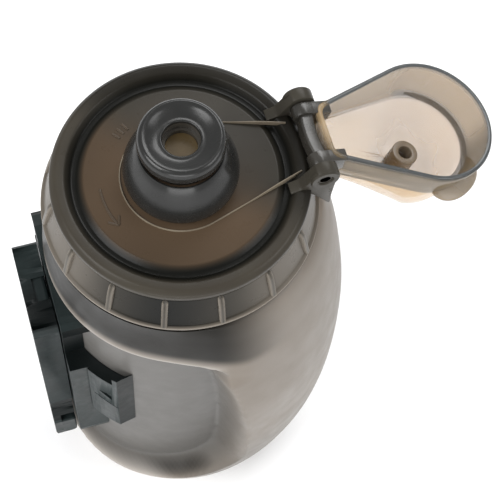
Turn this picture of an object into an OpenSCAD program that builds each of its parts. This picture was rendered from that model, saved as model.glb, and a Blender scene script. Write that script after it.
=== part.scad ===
// Sports squeeze bottle with a screw cap, a pull-up mouthpiece, a hinged dust cover and a
// twist-off bicycle mount. Millimetres, +Z up. The origin is the centre of the bottle's base,
// +X points to the dust cover's hinge and -X to the bicycle mount. The bottle stands upright
// with the dust cover swung fully open and the mouthpiece pushed shut.

/* [Bottle] */
// Height from the base to the top of the cap's rim
rim_z = 124; // [118:1:130]
// Largest radius of the bottle
body_r = 37.5; // [36:0.25:39]
// Wall thickness of the bottle
wall = 1.3; // [1:0.1:1.6]
// Outer radius of the neck under the cap
neck_r = 22.6; // [22.2:0.1:22.8]
// Radius of the recessed panel that carries the mount
panel_r = 28; // [27.5:0.1:28.5]

/* [Cap] */
// Outer radius of the cap at its rim
cap_r = 26; // [25.6:0.1:26.4]
// Outer radius of the cap's skirt at its lower edge
skirt_r = 28.4; // [28:0.1:28.8]
// Height of the cap from the rim to the skirt's lower edge
cap_h = 12.2; // [11.8:0.1:12.4]
// Radius of the cap's centre disc, inside the groove
disc_r = 20.2; // [19.5:0.1:20.6]
// Number of grip rib positions round the skirt
rib_positions = 15; // [12:1:18]
// Rise of the cap for one full turn
thread_lead = 4; // [3.75:0.25:4.25]

/* [Mouthpiece] */
// Outer radius of the mouthpiece's lip
lip_r = 8.6; // [8.2:0.1:8.8]
// Height of the mouthpiece's top above the cap's rim when shut
mouth_top = 16; // [15.5:0.1:16.2]
// Radius of the drinking hole
hole_r = 3.7; // [3.5:0.1:3.8]
// Widest radius of the soft collar round the spout
collar_r = 11.5; // [11:0.1:11.6]

/* [Dust cover] */
// Outer radius of the dust cover's round end
cover_r = 14; // [13.8:0.1:14.4]
// Height of the closed dust cover's crown above the cap's rim
cover_top = 22.9; // [22.6:0.1:23.6]
// Angle from closed to fully open
cover_open = 196; // [185:1:200]
// Distance of the hinge pin from the bottle's axis
hinge_x = 26.6; // [26.4:0.1:27]
// Height of the hinge pin above the cap's rim
hinge_up = 2.5; // [2.4:0.1:2.8]
// Radius of the hinge pin
pin_r = 1.1; // [1:0.05:1.2]

/* [Bicycle mount] */
// Spacing of the two frame bolts, the bottle-cage standard
bolt_spacing = 64; // [64:1:64]
// Diameter of the holes for M5 frame bolts
bolt_hole = 5.2; // [5.1:0.1:5.4]
// Length of the bicycle base
base_len = 74; // [73.5:0.5:76]
// Height of the twist hub's axis
hub_z = 54; // [53:0.5:55]
// Distance of the base's frame-side face from the bottle's axis
base_back = 35.4; // [35.2:0.1:36]

/* [Hidden] */

$fn = 96;
HULL_FN = 32;         // facets of the shapes that are hulled
EPS = 0.01;           // overlap that keeps cuts clean
GAP = 0.3;            // free gap between pieces that move past each other

// Neck, cap and thread
disc_z = rim_z - 0.7;
disc_under = disc_z - 1.8;
neck_top = disc_under - 1.4;
neck_bore = neck_r - 2;
cap_bore = neck_r + 1.6;
thread_tooth = 1.1;
thread_width = 1.3;
lug_angle = 14;
lug_step = 30;
neck_lugs = 18;
cap_lugs = 13;
thread_low = rim_z - 11;

// Spout, from the inside out
chimney_bore = 6.6;
chimney_r = 8;
chimney_top = rim_z + 8.5;
core_r = chimney_bore - 0.06;
throat_r = 3.2;
valve_r = throat_r - 0.06;
valve_top = rim_z + 11.2;
throat_low = rim_z + 9.9;
mouth_z = rim_z + mouth_top;
lip_low = rim_z + 12.4;
collar_top = rim_z + 10.6;

// Dust cover, drawn closed and then swung open about the pin
hinge_z = rim_z + hinge_up;
knuckle_r = 2.2;
knuckle_y = [4.3, 6.9];
ear_y = [7.2, 9.7];
cover_wall = 0.9;
cover_low = rim_z + 0.4;
skirt_top = cover_low + 8.6;
cover_end_x = hinge_x - 3.6;
cover_end_y = 6.6;
cover_end_z = rim_z + 7;
plug_r = 2.8;
plug_low = rim_z + 13.4;
lip_turn = 58;          // turn of the thumb lip from the side opposite the hinge

// Bicycle mount
connector_face = 29.6;
connector_y = 17;
connector_z = [26, 92.6];
boss_r = 8.2;
boss_face = connector_face + 3.4;
lug_r = boss_r + 1.3;
base_face = connector_face + GAP;
base_y = 11;
base_z = [12.5, 12.5 + base_len];
bolt_z = [base_z[0] + 3.5, base_z[0] + 3.5 + bolt_spacing];
magnet_r = 3.2;
magnet_t = 2;
base_magnet_t = 1.2;
magnet_y = 3.8;
wing_r = panel_r + 3.1;
wing_z = [47.5, 78.5];
wing_turn = [34, 48.5, 53.5];   // from -X: start, end of the outer face, end at the panel
window_z = [75, 91];
window_y = 12.5;
head_face = base_back - 2.4;    // seat of a bolt's head
socket_end = boss_face + GAP;
stud_z = [36, 84];
stud_r = 3;

// Radius of the full, unrecessed bottle at heights given below the rim, from neck to base
body_outline = [[29, -14.2], [31.2, -18.5], [33.3, -26], [35.1, -36], [36.5, -46],
                [37.2, -56], [body_r, -67], [37.3, -77], [36.6, -86], [35.3, -95],
                [33.6, -104], [31.6, -112], [29.2, -118], [26, -122], [22.5, -124]];

// Radius of the narrow front of the bottle: neck band, ridge, panel
panel_outline = [[28.2, -13.4], [29.2, -27.8], [29, -29.4], [panel_r, -31]];

// Points of an arc about a centre, from one angle to another
function arc(centre, r, from, to, steps = 6) =
    [for (i = [0 : steps]) let (a = from + (to - from) * i / steps)
        centre + r * [cos(a), sin(a)]];

// Outline points moved up by the rim's height, and inward by the wall where it is asked for
function raised(points, inset) = [for (p = points) [p[0] - inset, rim_z + p[1]]];

// ---------------------------------------------------------------- bottle

// The bottle's full round shape, inset by a wall thickness
module round_body(inset) {
    floor_z = inset;
    outline = [for (p = raised(body_outline, inset)) [p[0], max(p[1], floor_z)]];
    rotate_extrude()
        polygon(concat([[0, rim_z - 13.4 - inset], [24, rim_z - 13.4 - inset]], outline,
                       [[0, floor_z]]));
}

// The space cut away at the front: a side-on outline, less the narrow core that stays
module recess(inset) {
    right = 1.5 + inset;
    low = rim_z - 96 - inset;
    front = 45;
    outline = concat([[-front, rim_z - 12]], arc([right - 10, rim_z - 24], 10 + inset, 90, 0),
                     arc([right - 12, low + 12], 12, 0, -66),
                     [[-front, low - 19]]);
    difference() {
        translate([0, front, 0]) rotate([90, 0, 0]) linear_extrude(2 * front) polygon(outline);
        rotate_extrude()
            polygon(concat([[0, rim_z - 10]], [[27, rim_z - 10]],
                           raised(panel_outline, inset), [[panel_r - inset, -2], [0, -2]]));
    }
}

module hollow_shape(inset) {
    difference() {
        round_body(inset);
        recess(inset);
    }
}

// A row of short thread lugs along a helix; facing is 1 for an outer thread, -1 for an inner one
module thread_lugs(r, facing, low, count) {
    half = thread_width / 2;
    for (i = [0 : count - 1])
        translate([0, 0, low + thread_lead * i * lug_step / 360])
            rotate(i * lug_step)
                rotate_extrude(angle = lug_angle)
                    polygon([[r - facing * 0.3, -half], [r + facing * thread_tooth, -half / 2],
                             [r + facing * thread_tooth, half / 2], [r - facing * 0.3, half]]);
}

module bottle_body() {
    color([0.6, 0.57, 0.54, 0.85]) {
        difference() {
            union() {
                hollow_shape(0);
                translate([0, 0, rim_z - 14.5]) cylinder(r = neck_r, h = neck_top - rim_z + 14.5);
                for (z = stud_z)
                    translate([-panel_r + 1, 0, z]) rotate([0, -90, 0]) cylinder(r = stud_r, h = 2.2);
            }
            hollow_shape(wall);
            translate([0, 0, rim_z - 20]) cylinder(r = neck_bore, h = 30);
        }
        thread_lugs(neck_r, 1, thread_low, neck_lugs);
    }
}

// ---------------------------------------------------------------- cap

// Cap's turned section, from the spout bore outwards and down the skirt
module cap_section() {
    skirt_z = rim_z - cap_h;
    groove_r = disc_r + 1.5;
    polygon(concat(
        [[chimney_bore, disc_under], [chimney_bore, chimney_top], [chimney_r, chimney_top],
         [chimney_r, disc_z], [disc_r, disc_z], [disc_r, disc_z - 0.8],
         [groove_r, disc_z - 0.8], [groove_r, rim_z]],
        arc([cap_r - 1.2, rim_z - 1.2], 1.2, 90, 0),
        [[cap_r, rim_z - 2.6], [cap_r - 0.5, rim_z - 3.1], [skirt_r - 0.6, skirt_z + 1],
         [skirt_r, skirt_z + 0.7], [skirt_r, skirt_z], [skirt_r - 1.6, skirt_z],
         [cap_bore, rim_z - 11], [cap_bore, disc_under]]));
}

// One upright grip rib on the skirt
module grip_rib() {
    translate([0, 0.6, rim_z]) rotate([90, 0, 0])
        linear_extrude(1.2)
            polygon([[cap_r - 1, -2.8], [cap_r + 0.2, -3], [skirt_r + 0.5, -cap_h + 1.4],
                     [skirt_r + 0.4, -cap_h + 0.5], [skirt_r - 0.6, -cap_h + 0.5],
                     [cap_r - 1, -4.5]]);
}

// Side view of a hinge ear with its gusset running down the skirt
module ear() {
    linear_extrude(ear_y[1] - ear_y[0])
        polygon(concat([[hinge_x - 6.5, -1]], arc([hinge_x, hinge_up], 3.1, 120, -40, 10),
                       [[skirt_r + 0.3, -9], [cap_r - 1.2, -4], [cap_r - 2, -2]]));
}

// Raised teardrop line on the disc that the closed dust cover surrounds: an arc and two straights
module seat_line() {
    seat_r = 11.85;
    line = [0.5, 1.25];
    turn = 74;
    run = 17.2;
    translate([0, 0, disc_z - 0.85]) {
        rotate(turn) rotate_extrude(angle = 360 - 2 * turn) translate([seat_r, 0]) square(line);
        for (side = [0, 1])
            mirror([0, side, 0]) rotate(turn) translate([seat_r, -run, 0])
                cube([line[0], run, line[1]]);
    }
}

module cap_shell() {
    color([0.3, 0.27, 0.24, 0.9]) {
        difference() {
            union() {
                rotate_extrude() cap_section();
                for (i = [1 : rib_positions - 2]) rotate(8 + i * 360 / rib_positions) grip_rib();
                translate([0, -ear_y[0], rim_z]) rotate([90, 0, 0]) ear();
                translate([0, ear_y[1], rim_z]) rotate([90, 0, 0]) ear();
                seat_line();
            }
            translate([hinge_x, 15, hinge_z]) rotate([90, 0, 0]) cylinder(r = pin_r + 0.02, h = 30);
        }
        thread_lugs(cap_bore, -1, thread_low + thread_lead / 2, cap_lugs);
    }
}

module cap_gasket() {
    color("dimgray") rotate_extrude()
        translate([neck_bore - 0.2, neck_top + 0.05]) square([3, disc_under - neck_top - 0.1]);
}

module hinge_pin() {
    color("silver") translate([hinge_x, ear_y[1], hinge_z]) rotate([90, 0, 0])
        cylinder(r = pin_r, h = 2 * ear_y[1]);
}

// ---------------------------------------------------------------- spout

// Fixed shut-off pin on a three-armed spider, pressed into the spout's foot
module valve_core() {
    foot_z = disc_under;
    color([0.42, 0.34, 0.26]) {
        translate([0, 0, foot_z]) cylinder(r = 2.4, h = throat_low - foot_z - 0.6);
        translate([0, 0, throat_low - 1.2]) cylinder(r = valve_r, h = valve_top - throat_low + 1.2);
        intersection() {
            for (i = [0 : 2]) rotate(i * 120 + 30) translate([0, -0.8, foot_z]) cube([9, 1.6, 1.6]);
            translate([0, 0, foot_z - 1]) cylinder(r = chimney_bore - 0.02, h = 4);
        }
    }
}

// Soft bulging collar that hides the spout's chimney
module spout_collar() {
    color([0.26, 0.27, 0.28]) rotate_extrude()
        polygon(concat([[chimney_r + 0.05, disc_z + 0.05], [collar_r - 1, disc_z + 0.05]],
                       arc([collar_r - 3.2, rim_z + 2.4], 3.2, -30, 35, 8),
                       [[9.9, rim_z + 7.4], [9.1, rim_z + 9.4], [8.5, collar_top],
                        [chimney_r + 0.05, collar_top]]));
}

// Rigid tube that slides in the chimney; its throat closes on the valve pin
module mouthpiece_core() {
    low = rim_z + 1.6;
    top = rim_z + 14;
    color([0.2, 0.2, 0.21]) difference() {
        translate([0, 0, low]) cylinder(r = core_r, h = top - low);
        translate([0, 0, low - 1]) cylinder(r = 4.9, h = throat_low - low + 1);
        translate([0, 0, low]) cylinder(r = throat_r, h = top);
        translate([0, 0, rim_z + 12.2]) cylinder(r = hole_r, h = 6);
        rotate_extrude() translate([core_r - 1, rim_z + 4]) square([2, 1.5]);
    }
}

module mouthpiece_o_ring() {
    color([0.12, 0.12, 0.12]) translate([0, 0, rim_z + 4.75]) rotate_extrude()
        translate([core_r - 0.5, 0]) circle(r = 0.48, $fn = 32);
}

// Soft lip over the core: a rounded flange with a dished top
module mouthpiece_lip() {
    color([0.26, 0.27, 0.28]) rotate_extrude()
        polygon(concat([[core_r + 0.02, collar_top + GAP], [7.4, collar_top + GAP],
                        [7.6, lip_low - 0.6], [lip_r - 0.3, lip_low]],
                       arc([lip_r - 1.5, mouth_z - 1.5], 1.5, 0, 100, 8),
                       [[5.4, mouth_z - 0.7], [hole_r, mouth_z - 1.2], [hole_r, rim_z + 14.02],
                        [core_r + 0.02, rim_z + 14.02]]));
}

// ---------------------------------------------------------------- dust cover

// Closed cover as a solid: a flared skirt under a full dome, drawn out to the hinge
module cover_solid(inset) {
    bulge = 2.6;
    dome_r = cover_r - 2.4;
    dome_h = rim_z + cover_top - skirt_top;
    dome = [for (i = [0 : 8]) let (h = i / 8)
        [(dome_r - inset) * pow(max(0, 1 - pow(h, bulge)), 1 / bulge),
         skirt_top + h * (dome_h - inset)]];
    low = inset > 0 ? cover_low - 1 : cover_low;
    hull() {
        rotate_extrude($fn = HULL_FN)
            polygon(concat([[0, low], [cover_r - inset, low]], dome));
        translate([cover_end_x - 2 - inset, inset - cover_end_y, low])
            cube([2, 2 * (cover_end_y - inset), cover_end_z - inset - low]);
    }
}

// Knuckle round the pin, with its arm back to the cover's end
module knuckle() {
    width = knuckle_y[1] - knuckle_y[0];
    translate([hinge_x, knuckle_y[1], hinge_z]) rotate([90, 0, 0]) {
        cylinder(r = knuckle_r, h = width);
        linear_extrude(width)
            polygon([[0, knuckle_r - 0.1], [-4.2, knuckle_r + 0.6], [-4.2, -1.9], [0, -1.9]]);
    }
}

// Thumb lip at the skirt's top, on the round end
module thumb_lip() {
    lip_thickness = 1.3;
    rotate(lip_turn) translate([0, 0, skirt_top - 1]) intersection() {
        difference() {
            translate([-cover_r + 7.2, 0, 0]) cylinder(r = 9.4, h = lip_thickness);
            translate([0, 0, -1]) cylinder(r = cover_r - 2.8, h = 4);
        }
        translate([-22, -8, -1]) cube([12, 16, 4]);
    }
}

module closed_cover() {
    difference() {
        union() {
            difference() {
                cover_solid(0);
                cover_solid(cover_wall);
            }
            translate([0, 0, plug_low]) cylinder(r = plug_r, h = rim_z + cover_top - 0.4 - plug_low);
            knuckle();
            mirror([0, 1, 0]) knuckle();
            thumb_lip();
        }
        translate([0, 0, plug_low - 1]) cylinder(r = 1.5, h = 6.5);
        translate([hinge_x, 10, hinge_z]) rotate([90, 0, 0]) cylinder(r = pin_r + 0.06, h = 20);
    }
}

module dust_cover() {
    color([0.76, 0.7, 0.63, 0.8])
        translate([hinge_x, 0, hinge_z]) rotate([0, cover_open, 0])
            translate([-hinge_x, 0, -hinge_z]) closed_cover();
}

// ---------------------------------------------------------------- bicycle mount

// Lays an outline drawn in Y and Z flat against a plane of constant X and thickens it outwards
module facing_mount(from, to) {
    translate([-from, 0, 0]) rotate([90, 0, -90]) linear_extrude(to - from) children();
}

// Rounded rectangle between two heights
module plate_outline(half_y, z_range, r) {
    y = half_y - r;
    polygon(concat(arc([y, z_range[1] - r], r, 90, 0), arc([y, z_range[0] + r], r, 0, -90),
                   arc([-y, z_range[0] + r], r, 270, 180), arc([-y, z_range[1] - r], r, 180, 90)));
}

// Two bayonet lugs, or the slots that they pass through
module bayonet(r, from, to, start, sweep) {
    root = boss_r - 1.5;
    for (i = [0, 1])
        translate([-from, 0, hub_z]) rotate([0, -90, 0]) rotate(i * 180 + start)
            rotate_extrude(angle = sweep) translate([root, 0]) square([r - root, to - from]);
}

module hub_cylinder(r, from, to) {
    translate([-from, 0, hub_z]) rotate([0, -90, 0]) cylinder(r = r, h = to - from);
}

// Point on the wing's plan, at a radius and an angle from -X
function wing_point(r, turn) = r * [cos(turn), sin(turn)];

// Wing that reaches round the panel beside the plate, with a sloped end
module wing() {
    tip = wing_point(wing_r, wing_turn[1]);
    slope = tip - wing_point(panel_r, wing_turn[2]);
    difference() {
        translate([0, 0, wing_z[0]]) rotate(180 + wing_turn[0])
            rotate_extrude(angle = wing_turn[2] - wing_turn[0] + 1)
                translate([panel_r - 1, 0]) square([wing_r - panel_r + 1, wing_z[1] - wing_z[0]]);
        rotate(180) translate([tip[0], tip[1], wing_z[0] - 1])
            rotate(atan2(slope[1], slope[0])) translate([-10, 0, 0])
                cube([20, 10, wing_z[1] - wing_z[0] + 2]);
    }
}

module bottle_connector() {
    color([0.2, 0.24, 0.24]) difference() {
        union() {
            difference() {
                union() {
                    facing_mount(15, connector_face) plate_outline(connector_y, connector_z, 6);
                    wing();
                    mirror([0, 1, 0]) wing();
                }
                translate([0, 0, -1]) cylinder(r = panel_r + 0.1, h = rim_z);
                for (side = [0, 1])
                    mirror([0, side, 0]) translate([-connector_face - 1, window_y, window_z[0]])
                        cube([15, 10, window_z[1] - window_z[0]]);
            }
            hub_cylinder(boss_r, connector_face - 0.5, boss_face);
            bayonet(lug_r, boss_face - 1.4, boss_face, 60, 30);
        }
        for (z = stud_z)
            translate([-panel_r + 2, 0, z]) rotate([0, -90, 0]) cylinder(r = stud_r + 0.05, h = 3.3);
        hub_discs(magnet_r + 0.05, panel_r - 1, boss_face - 0.6);
    }
}

// Two discs side by side on the hub's axis: the magnets, or the pockets that hold them
module hub_discs(r, from, to) {
    for (side = [-1, 1])
        translate([-from, side * magnet_y, hub_z]) rotate([0, -90, 0]) cylinder(r = r, h = to - from);
}

module connector_magnets() {
    color("silver") hub_discs(magnet_r, boss_face - 0.65 - magnet_t, boss_face - 0.65);
}

module bike_base() {
    waist_r = 15;       // side scoops near the lower end
    waist_y = 23.5;
    thumb_r = 24;       // scoop across the top end
    thumb_z = 21.5;
    head_r = 5;
    foot = [base_back - 1.9, 24];   // thinned foot that clears the bottle: face and height
    groove_face = boss_face - 1.4 - GAP;
    color([0.22, 0.27, 0.26]) difference() {
        facing_mount(base_face, base_back) difference() {
            plate_outline(base_y, base_z, 2.5);
            for (side = [-1, 1])
                translate([side * waist_y, base_z[0] + 17.8]) circle(r = waist_r);
            translate([0, base_z[1] + thumb_z]) circle(r = thumb_r);
        }
        hub_cylinder(boss_r + GAP, base_face - 1, socket_end);
        hub_cylinder(lug_r + GAP, groove_face, socket_end);
        bayonet(lug_r + GAP, base_face - 1, groove_face + EPS, 27, 36);
        for (z = bolt_z) translate([-base_back - 1, 0, z]) rotate([0, 90, 0]) {
            cylinder(d = bolt_hole, h = 20);
            translate([0, 0, base_back + 1 - head_face]) cylinder(r = head_r, h = 10);
        }
        hub_discs(magnet_r + 0.05, socket_end - 1, socket_end + base_magnet_t + 0.1);
        translate([-foot[0], -20, -1]) cube([20, 40, foot[1] + 1]);
    }
}

module base_magnets() {
    color("silver") hub_discs(magnet_r, socket_end + 0.05, socket_end + 0.05 + base_magnet_t);
}

bottle_body();
cap_shell();
cap_gasket();
valve_core();
spout_collar();
mouthpiece_core();
mouthpiece_lip();
mouthpiece_o_ring();
dust_cover();
hinge_pin();
bottle_connector();
connector_magnets();
bike_base();
base_magnets();
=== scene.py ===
import math

import bmesh
import bpy
import numpy as np
from mathutils import Matrix, Vector


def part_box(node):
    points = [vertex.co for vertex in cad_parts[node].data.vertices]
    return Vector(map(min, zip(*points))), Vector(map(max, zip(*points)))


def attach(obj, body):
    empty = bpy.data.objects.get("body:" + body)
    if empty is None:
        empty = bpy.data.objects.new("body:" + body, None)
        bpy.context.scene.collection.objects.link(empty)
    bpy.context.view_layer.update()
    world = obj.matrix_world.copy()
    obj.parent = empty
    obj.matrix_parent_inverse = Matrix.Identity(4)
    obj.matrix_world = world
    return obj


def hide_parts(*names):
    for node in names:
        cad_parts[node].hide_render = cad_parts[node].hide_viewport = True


# Looks of the sports squeeze bottle. Lengths in this script are millimetres, turned to metres when a
# mesh is made. Heights named in the outlines are measured from the top of the cap's rim.

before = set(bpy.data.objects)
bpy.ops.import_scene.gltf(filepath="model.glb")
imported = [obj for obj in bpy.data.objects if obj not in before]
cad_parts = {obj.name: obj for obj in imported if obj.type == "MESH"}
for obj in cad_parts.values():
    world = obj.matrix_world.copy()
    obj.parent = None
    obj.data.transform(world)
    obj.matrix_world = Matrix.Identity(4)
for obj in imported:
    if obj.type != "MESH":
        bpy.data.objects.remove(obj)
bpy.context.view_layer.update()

MM = 0.001


def box_mm(node):
    """The CAD node's lowest and highest corners in millimetres."""
    low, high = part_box(node)
    return np.array(low) / MM, np.array(high) / MM


# ------------------------------------------------------------------ sizes taken from the frame

PIN_LOW, PIN_HIGH = box_mm("hinge_pin")
BASE_LOW, BASE_HIGH = box_mm("bike_base")
BODY_HIGH = box_mm("bottle_body")[1]
LIP_HIGH = box_mm("mouthpiece_lip")[1]
COLLAR_HIGH = box_mm("spout_collar")[1]
CAP_LOW = box_mm("cap_shell")[0]

HINGE_X = (PIN_LOW[0] + PIN_HIGH[0]) / 2
HINGE_Z = (PIN_LOW[2] + PIN_HIGH[2]) / 2
HINGE_UP = 2.5                      # the pin's height above the rim
RIM = HINGE_Z - HINGE_UP

# Bottle and cap
BODY_R = BODY_HIGH[0]
PANEL_R = 28                        # the recessed panel that carries the mount
WALL = 1.3
NECK_R, NECK_BORE, NECK_TOP = 22.6, 20.6, BODY_HIGH[2] - RIM
CAP_BORE, CAP_R, SKIRT_R = 24.2, 26, 28.4
CAP_LOW_Z = CAP_LOW[2] - RIM
DISC_R, DISC_Z = 20.2, -0.7
THREAD_LEAD, THREAD_LOW, TOOTH = 4, -11, 1.1
RIB_START, RIB_STEP, RIBS = 8, 24, 13           # grip ribs: a step before the first, step in degrees, count
EAR_Y = (7.2, PIN_HIGH[1])

# Mouthpiece
MOUTH_TOP = LIP_HIGH[2] - RIM
LIP_R, HOLE_R = LIP_HIGH[0], 3.7
COLLAR_R, COLLAR_TOP = COLLAR_HIGH[0], COLLAR_HIGH[2] - RIM

# Dust cover, closed
COVER_R, COVER_TOP, COVER_LOW = 14, 22.9, 0.4
COVER_END_X, COVER_END_Y, COVER_END_Z = HINGE_X - 2.2, 6.0, 6.4
COVER_WALL, SKIRT_TOP = 0.9, 9
COVER_OPEN = math.radians(196)
LIP_TURN, LIP_SPAN, LIP_REACH = 58, 66, 1.4     # thumb lip: middle and width in degrees, reach past the skirt
LEDGE_ENDS = (45, 82)               # degrees either side of the round end
BLOCK_X = HINGE_X - 5.5             # inner face of the hinge blocks at the cover's corners

# Bicycle mount; its heights are measured from the ground
BASE_FACE, BASE_BACK = 29.9, 35.3   # the bicycle base's two faces, as distances from the axis
BOLT_R = 2.6                        # radius of the holes for the frame bolts
BOLT_UP = 3.5                       # the lower hole's height above the base's lower end
WING_R = 31.1                       # outer face of the connector's wings
WING_TIP = 48.8                     # degrees from -X where the wing's sloped end starts
WINDOW = (74, 91.6)                 # heights of the connector's side windows
SCOOP_LOW = 80                      # height above which the base's upward faces belong to its scoop
WAIST = (22, 39)                    # heights of the base's side scoops
BASE_SIDE = 10.6                    # faces of the base nearer its middle than this belong to its scoops
UPWARD = 0.6                        # a face whose direction rises more than this faces up
FLAT_FACE = 4 * MM * MM             # a face larger than this is shaded flat


# ------------------------------------------------------------------ small helpers

def ease(t):
    """0 below 0, 1 above 1, and a smooth step between."""
    t = np.clip(t, 0, 1)
    return t * t * (3 - 2 * t)


def curve(xs, ys, x):
    """A smooth line through the points xs, ys, read at x."""
    xs, ys = np.asarray(xs, float), np.asarray(ys, float)
    slope = np.gradient(ys, xs)
    i = np.clip(np.searchsorted(xs, x) - 1, 0, len(xs) - 2)
    h = xs[i + 1] - xs[i]
    t = (x - xs[i]) / h
    return ((1 + 2 * t) * (1 - t) ** 2 * ys[i] + t * (1 - t) ** 2 * h * slope[i]
            + t * t * (3 - 2 * t) * ys[i + 1] + t * t * (t - 1) * h * slope[i + 1])


def smooth_path(points, count):
    """count points evenly along a smooth line through the given points."""
    points = np.asarray(points, float)
    along = np.concatenate([[0], np.cumsum(np.linalg.norm(np.diff(points, axis=0), axis=1))])
    at = np.linspace(0, along[-1], count)
    return np.stack([curve(along, points[:, k], at) for k in range(points.shape[1])], 1)


def fillet(corners, steps=5, closed=True):
    """An outline whose corners (x, y, radius) are rounded."""
    out = []
    n = len(corners)
    for i, (x, y, r) in enumerate(corners):
        here = np.array([x, y], float)
        if r <= 0 or (not closed and i in (0, n - 1)):
            out.append(here)
            continue
        before = np.array(corners[i - 1][:2], float) - here
        after = np.array(corners[(i + 1) % n][:2], float) - here
        lb, la = np.linalg.norm(before), np.linalg.norm(after)
        before, after = before / lb, after / la
        turn = math.pi - math.acos(float(np.clip(before @ after, -1, 1)))
        reach = min(r * math.tan(turn / 2), 0.48 * lb, 0.48 * la)
        a, b = here + before * reach, here + after * reach
        for k in range(steps + 1):
            t = k / steps
            out.append((1 - t) ** 2 * a + 2 * t * (1 - t) * here + t * t * b)
    return out


def loft(rings, loop=False, caps=False):
    """Vertices and faces that join rings of equally many points."""
    n, count = len(rings[0]), len(rings)
    verts = [tuple(p) for ring in rings for p in ring]
    faces = []
    for i in range(count if loop else count - 1):
        a, b = i * n, ((i + 1) % count) * n
        faces += [(a + j, a + (j + 1) % n, b + (j + 1) % n, b + j) for j in range(n)]
    if caps:
        faces += [tuple(range(n))[::-1], tuple(range((count - 1) * n, count * n))]
    return verts, faces


def lathe(outline, steps=192):
    """A ring turned round Z from a closed outline of radius and height above the rim."""
    turns = np.linspace(0, 2 * math.pi, steps, endpoint=False)
    return loft([[(r * math.cos(a), r * math.sin(a), RIM + z) for r, z in outline] for a in turns],
                loop=True)


def prism(outline, low, high):
    """A flat outline in X and Z, given from the rim, thickened along Y."""
    return loft([[(x, y, RIM + z) for x, z in outline] for y in (low, high)], caps=True)


def sweep(path, ups, section):
    """A closed section (across, up) carried along a path, standing on the given up directions."""
    path, ups = np.asarray(path, float), np.asarray(ups, float)
    ahead = np.gradient(path, axis=0)
    across = np.cross(ahead, ups)
    across /= np.linalg.norm(across, axis=1)[:, None]
    return loft([[p + c * a + u * b for a, b in section] for p, c, u in zip(path, across, ups)],
                caps=True)


def joined(*parts):
    """Several lots of vertices and faces as one."""
    verts, faces = [], []
    for v, f in parts:
        faces += [tuple(i + len(verts) for i in face) for face in f]
        verts += v
    return verts, faces


def turned(part, degrees):
    """The part turned round Z."""
    a = math.radians(degrees)
    c, s = math.cos(a), math.sin(a)
    return [(x * c - y * s, x * s + y * c, z) for x, y, z in part[0]], part[1]


def mirrored(part):
    """The part mirrored to the other side of the plane Y = 0."""
    return [(x, -y, z) for x, y, z in part[0]], [f[::-1] for f in part[1]]


def swung_open(part):
    """A part of the closed dust cover, swung about the hinge to where it rests open."""
    c, s = math.cos(COVER_OPEN), math.sin(COVER_OPEN)
    out = []
    for x, y, z in part[0]:
        dx, dz = x - HINGE_X, z - HINGE_Z
        out.append((HINGE_X + dx * c + dz * s, y, HINGE_Z - dx * s + dz * c))
    return out, part[1]


def solid(name, part):
    """An object made from vertices in millimetres."""
    mesh = bpy.data.meshes.new(name)
    mesh.from_pydata([tuple(c * MM for c in v) for v in part[0]], [], part[1])
    obj = bpy.data.objects.new(name, mesh)
    bpy.context.scene.collection.objects.link(obj)
    tidy_mesh(obj)
    return obj


def tidy_mesh(obj):
    """Joins points that coincide and turns every face outwards."""
    bm = bmesh.new()
    bm.from_mesh(obj.data)
    bmesh.ops.remove_doubles(bm, verts=bm.verts, dist=1e-7)
    bmesh.ops.recalc_face_normals(bm, faces=bm.faces)
    bm.to_mesh(obj.data)
    bm.free()


def copy_of(name, node):
    """A copy of a CAD node's mesh with its flat faces whole again, to be worked on as a new piece."""
    obj = bpy.data.objects.new(name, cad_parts[node].data.copy())
    bpy.context.scene.collection.objects.link(obj)
    bm = bmesh.new()
    bm.from_mesh(obj.data)
    bmesh.ops.remove_doubles(bm, verts=bm.verts, dist=2e-6)
    bmesh.ops.dissolve_limit(bm, angle_limit=math.radians(1.5), verts=bm.verts, edges=bm.edges)
    bm.to_mesh(obj.data)
    bm.free()
    return obj


def apply_modifiers(obj):
    """Replaces the object's mesh with the one its modifiers make."""
    graph = bpy.context.evaluated_depsgraph_get()
    mesh = bpy.data.meshes.new_from_object(obj.evaluated_get(graph))
    obj.modifiers.clear()
    obj.data = mesh


def bevel(obj, width):
    """Rounds every edge where the surface turns by more than 32 degrees."""
    m = obj.modifiers.new("bevel", "BEVEL")
    m.width, m.segments = width * MM, 3
    m.limit_method, m.angle_limit = "ANGLE", math.radians(32)
    m.use_clamp_overlap = True
    apply_modifiers(obj)


def cut(obj, *cutters):
    """Takes the cutters away from obj and removes them."""
    for cutter in cutters:
        m = obj.modifiers.new("cut", "BOOLEAN")
        m.operation, m.solver, m.object = "DIFFERENCE", "EXACT", cutter
        apply_modifiers(obj)
        bpy.data.objects.remove(cutter)


def paint(obj, name, values):
    """A number at each vertex, for the material to read."""
    layer = obj.data.attributes.new(name, "FLOAT", "POINT")
    layer.data.foreach_set("value", np.asarray(values, np.float32))


def face_centres(obj):
    """Each face's centre and its direction, in millimetres and as a unit vector."""
    centres = np.array([tuple(p.center) for p in obj.data.polygons]) / MM
    return centres, np.array([tuple(p.normal) for p in obj.data.polygons])


def paint_faces(obj, name, values):
    """A number on each face, for the material to read."""
    layer = obj.data.attributes.new(name, "FLOAT", "FACE")
    layer.data.foreach_set("value", np.asarray(values, np.float32))


def paint_all(obj, name, value):
    """The same number at every vertex."""
    paint(obj, name, np.full(len(obj.data.vertices), value))


def positions(obj):
    """Where the vertices are, in millimetres."""
    co = np.zeros(len(obj.data.vertices) * 3)
    obj.data.vertices.foreach_get("co", co)
    return co.reshape(-1, 3) / MM


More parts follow.
